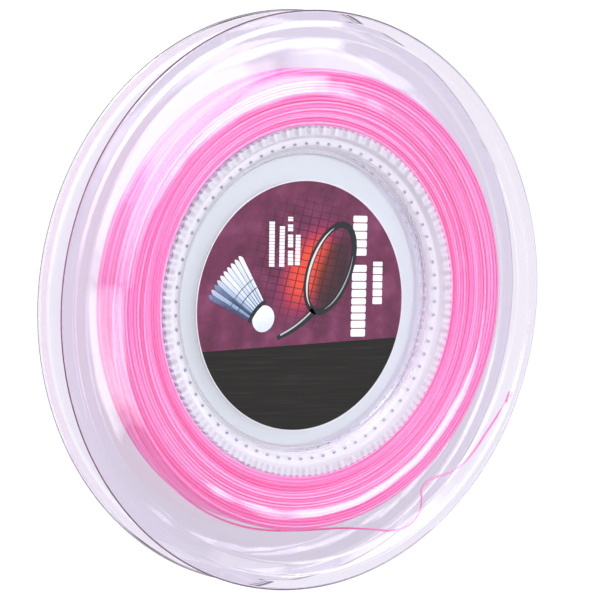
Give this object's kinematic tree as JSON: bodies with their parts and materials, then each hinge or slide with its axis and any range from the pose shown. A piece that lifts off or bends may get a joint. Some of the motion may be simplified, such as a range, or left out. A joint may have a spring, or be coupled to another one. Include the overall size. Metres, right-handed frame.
{
  "type": "badminton string reel",
  "caption": "Flat clear plastic reel with a wide open rim gap, full of pink racket string, with a round printed label in its recessed centre and a loose string end.",
  "frame": {"origin": "on the reel's axis, level with the rear lip's crest, on which the reel lies", "axes": "+Z along the reel's axis, out of the labelled face; +Y towards the top edge of the label; +X to its right"},
  "size_m": [0.176, 0.176, 0.0158],
  "materials": {
    "clear_plastic": "clear injection-moulded polystyrene, glossy",
    "printed_label": "printed paper with a thin gloss varnish",
    "pink_string": "coated multifilament nylon, satin"
  },
  "bodies": {
    "rear": {"rear_half": "clear_plastic", "string_winding": "pink_string", "string_tail": "pink_string"},
    "front": {"front_half": "clear_plastic", "front_label": "printed_label"}
  },
  "joints": [
    {"name": "front_half_pull", "type": "slide", "parent": "rear", "child": "front", "axis": [0, 0, 1], "range_m": [0, 0.0105]}
  ]
}
